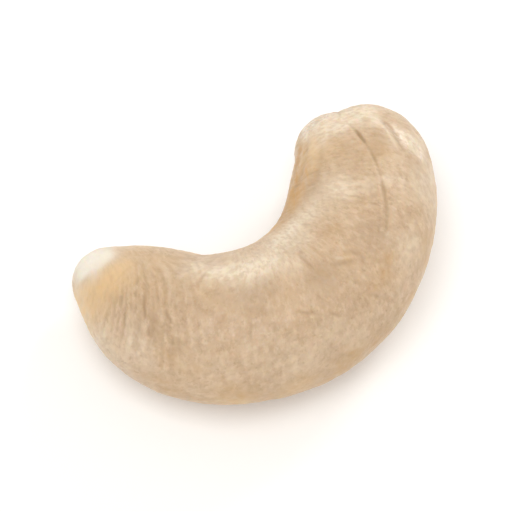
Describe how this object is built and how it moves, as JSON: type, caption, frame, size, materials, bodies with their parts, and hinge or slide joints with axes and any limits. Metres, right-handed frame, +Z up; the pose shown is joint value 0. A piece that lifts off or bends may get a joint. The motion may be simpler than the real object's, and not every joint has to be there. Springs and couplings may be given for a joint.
{
  "type": "cashew kernel",
  "caption": "Whole shelled cashew kernel, a comma-shaped seed lying on its side, with a seam and two rounded lobes at its thick end.",
  "frame": {"origin": "on the surface that the kernel lies on, under the middle of its bounding box", "axes": "+X along the kernel's longest extent, towards its thick arm; +Y towards the open side of the bend; +Z up, across the bend's plane, the shortest extent"},
  "size_m": [0.026, 0.0166, 0.0096],
  "materials": {
    "kernel": "raw cream-beige seed flesh with a dull waxy gloss, fine cross wrinkles and a whiter tip"
  },
  "bodies": {
    "root": {"cashew_kernel": "kernel"}
  },
  "joints": []
}
